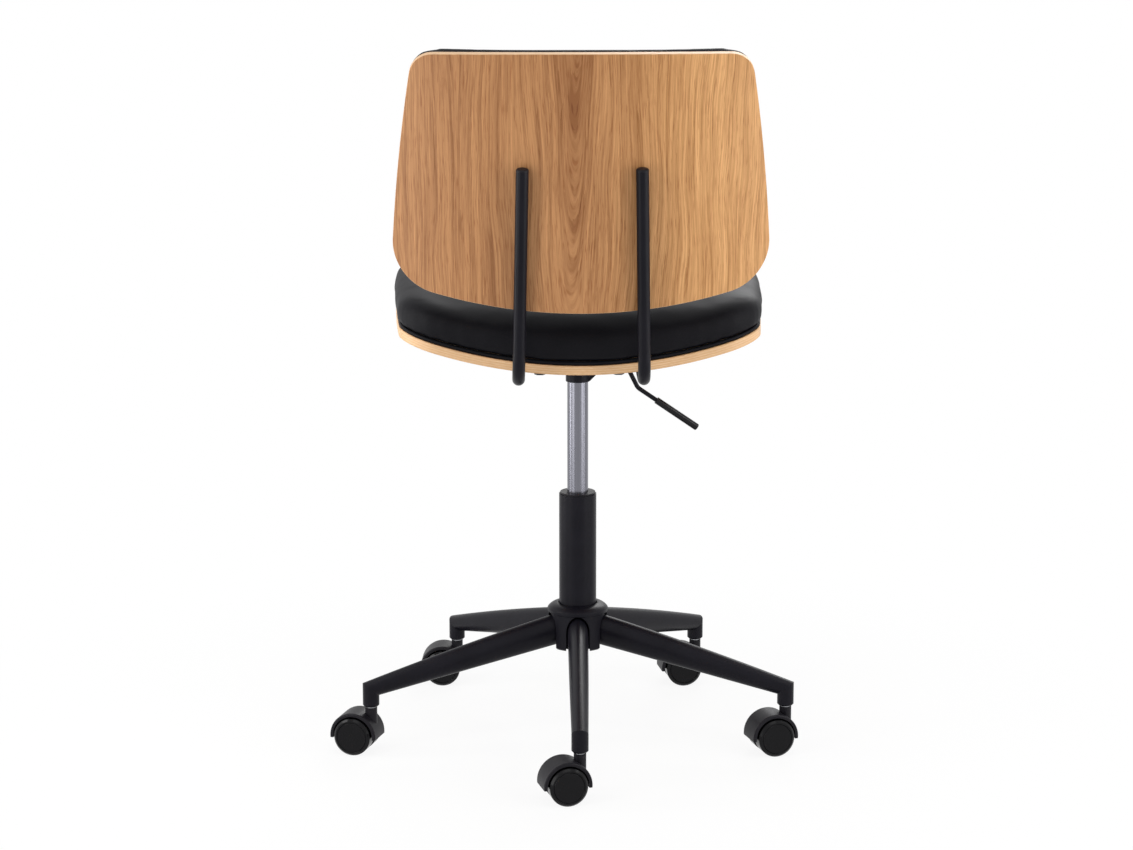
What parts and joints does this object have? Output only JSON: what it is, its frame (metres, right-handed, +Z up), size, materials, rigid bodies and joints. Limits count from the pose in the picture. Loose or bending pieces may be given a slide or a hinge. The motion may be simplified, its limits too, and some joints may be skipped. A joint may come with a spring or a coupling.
{
  "type": "swivel office chair",
  "caption": "Swivel office chair with a bent oak plywood seat and back, black leatherette pads, gas lift, height lever and a star base on twin-wheel casters.",
  "frame": {"origin": "on the floor under the column's axis", "axes": "+Z up, -Y towards the chair's front, +X towards the side away from the height lever"},
  "size_m": [0.6229, 0.5869, 0.9524],
  "materials": {
    "oak_plywood": "oak veneer on bent plywood, satin lacquer",
    "pad_board": "raw plywood, hidden by the cover",
    "leatherette": "fine-grained coated fabric, low sheen",
    "black_steel": "black powder coat, satin",
    "lift_chrome": "bright plated, lightly drawn",
    "zinc_steel": "bright zinc",
    "black_oxide_steel": "black oxide",
    "piston_aluminium": "machined, sealed inside the lift",
    "bumper_rubber": "moulded",
    "black_nylon": "moulded, fine texture",
    "wheel_nylon": "moulded, smooth"
  },
  "bodies": {
    "base": {"base_hub": "black_steel", "base_leg_1": "black_steel", "base_leg_2": "black_steel", "base_leg_3": "black_steel", "base_leg_4": "black_steel", "base_leg_5": "black_steel", "caster_stems": "zinc_steel", "column_tube": "black_steel", "guide_bush": "black_nylon", "bearing_washer_lower": "zinc_steel", "bearing_balls": "zinc_steel"},
    "lift_rod": {"piston_rod": "zinc_steel", "piston": "piston_aluminium", "bearing_washer_upper": "zinc_steel", "rod_clip": "zinc_steel", "lift_bumper": "bumper_rubber"},
    "seat": {"gas_cylinder": "lift_chrome", "seat_socket": "black_steel", "seat_plate": "black_steel", "lever_pivot_pin": "zinc_steel", "plate_spacers": "zinc_steel", "plate_bolts": "black_oxide_steel", "tee_nuts": "zinc_steel", "back_tube_left": "black_steel", "back_tube_right": "black_steel", "tube_plugs": "black_nylon", "tube_inserts": "zinc_steel", "back_bolts": "zinc_steel", "seat_shell": "oak_plywood", "seat_board": "pad_board", "seat_welt": "leatherette", "seat_cushion": "leatherette", "back_shell": "oak_plywood", "back_board": "pad_board", "back_welt": "leatherette", "back_pad": "leatherette"},
    "lever": {"lever_rod": "black_steel", "lever_grip": "black_nylon"},
    "release_pin": {"release_pin": "zinc_steel"},
    "caster_1": {"caster_hood_1": "black_nylon", "caster_axle_1": "zinc_steel"},
    "wheel_1_outer": {"caster_wheel_1_outer": "wheel_nylon"},
    "wheel_1_inner": {"caster_wheel_1_inner": "wheel_nylon"},
    "caster_2": {"caster_hood_2": "black_nylon", "caster_axle_2": "zinc_steel"},
    "wheel_2_outer": {"caster_wheel_2_outer": "wheel_nylon"},
    "wheel_2_inner": {"caster_wheel_2_inner": "wheel_nylon"},
    "caster_3": {"caster_hood_3": "black_nylon", "caster_axle_3": "zinc_steel"},
    "wheel_3_outer": {"caster_wheel_3_outer": "wheel_nylon"},
    "wheel_3_inner": {"caster_wheel_3_inner": "wheel_nylon"},
    "caster_4": {"caster_hood_4": "black_nylon", "caster_axle_4": "zinc_steel"},
    "wheel_4_outer": {"caster_wheel_4_outer": "wheel_nylon"},
    "wheel_4_inner": {"caster_wheel_4_inner": "wheel_nylon"},
    "caster_5": {"caster_hood_5": "black_nylon", "caster_axle_5": "zinc_steel"},
    "wheel_5_outer": {"caster_wheel_5_outer": "wheel_nylon"},
    "wheel_5_inner": {"caster_wheel_5_inner": "wheel_nylon"}
  },
  "joints": [
    {"name": "seat_swivel", "type": "hinge", "parent": "base", "child": "lift_rod", "pos_m": [0, 0, 0.14], "axis": [0, 0, 1], "continuous": true},
    {"name": "height_lift", "type": "slide", "parent": "lift_rod", "child": "seat", "axis": [0, 0, 1], "range_m": [-0.115, 0]},
    {"name": "lever_lift", "type": "hinge", "parent": "seat", "child": "lever", "pos_m": [-0.026, 0, 0.5294], "axis": [0, 1, 0], "range_deg": [0, 6], "stiffness_Nm_per_rad": 1.5, "springref_deg": -2.86},
    {"name": "release_pin_press", "type": "slide", "parent": "seat", "child": "release_pin", "axis": [0, 0, -1], "range_m": [0, 0.0028]},
    {"name": "caster_swivel_1", "type": "hinge", "parent": "base", "child": "caster_1", "pos_m": [0.00304, 0.28998, 0.062], "axis": [0, 0, 1], "continuous": true},
    {"name": "wheel_spin_1_outer", "type": "hinge", "parent": "caster_1", "child": "wheel_1_outer", "pos_m": [0.02246, 0.29475, 0.025], "axis": [-0.2385, 0.9711, 0], "continuous": true},
    {"name": "wheel_spin_1_inner", "type": "hinge", "parent": "caster_1", "child": "wheel_1_inner", "pos_m": [0.02246, 0.29475, 0.025], "axis": [-0.2385, 0.9711, 0], "continuous": true},
    {"name": "caster_swivel_2", "type": "hinge", "parent": "base", "child": "caster_2", "pos_m": [-0.27485, 0.0925, 0.062], "axis": [0, 0, 1], "continuous": true},
    {"name": "wheel_spin_2_outer", "type": "hinge", "parent": "caster_2", "child": "wheel_2_outer", "pos_m": [-0.25566, 0.09811, 0.025], "axis": [-0.2807, 0.9598, 0], "continuous": true},
    {"name": "wheel_spin_2_inner", "type": "hinge", "parent": "caster_2", "child": "wheel_2_inner", "pos_m": [-0.25566, 0.09811, 0.025], "axis": [-0.2807, 0.9598, 0], "continuous": true},
    {"name": "caster_swivel_3", "type": "hinge", "parent": "base", "child": "caster_3", "pos_m": [-0.17291, -0.23282, 0.062], "axis": [0, 0, 1], "continuous": true},
    {"name": "wheel_spin_3_outer", "type": "hinge", "parent": "caster_3", "child": "wheel_3_outer", "pos_m": [-0.15314, -0.22976, 0.025], "axis": [-0.153, 0.9882, 0], "continuous": true},
    {"name": "wheel_spin_3_inner", "type": "hinge", "parent": "caster_3", "child": "wheel_3_inner", "pos_m": [-0.15314, -0.22976, 0.025], "axis": [-0.153, 0.9882, 0], "continuous": true},
    {"name": "caster_swivel_4", "type": "hinge", "parent": "base", "child": "caster_4", "pos_m": [0.16799, -0.23639, 0.062], "axis": [0, 0, 1], "continuous": true},
    {"name": "wheel_spin_4_outer", "type": "hinge", "parent": "caster_4", "child": "wheel_4_outer", "pos_m": [0.18796, -0.2375, 0.025], "axis": [0.0558, 0.9984, 0], "continuous": true},
    {"name": "wheel_spin_4_inner", "type": "hinge", "parent": "caster_4", "child": "wheel_4_inner", "pos_m": [0.18796, -0.2375, 0.025], "axis": [0.0558, 0.9984, 0], "continuous": true},
    {"name": "caster_swivel_5", "type": "hinge", "parent": "base", "child": "caster_5", "pos_m": [0.27673, 0.08672, 0.062], "axis": [0, 0, 1], "continuous": true},
    {"name": "wheel_spin_5_outer", "type": "hinge", "parent": "caster_5", "child": "wheel_5_outer", "pos_m": [0.29586, 0.08087, 0.025], "axis": [0.2924, 0.9563, 0], "continuous": true},
    {"name": "wheel_spin_5_inner", "type": "hinge", "parent": "caster_5", "child": "wheel_5_inner", "pos_m": [0.29586, 0.08087, 0.025], "axis": [0.2924, 0.9563, 0], "continuous": true}
  ],
  "couplings": [
    {"joint": "release_pin_press", "follows": "lever_lift", "m_per_rad": 0.026}
  ]
}
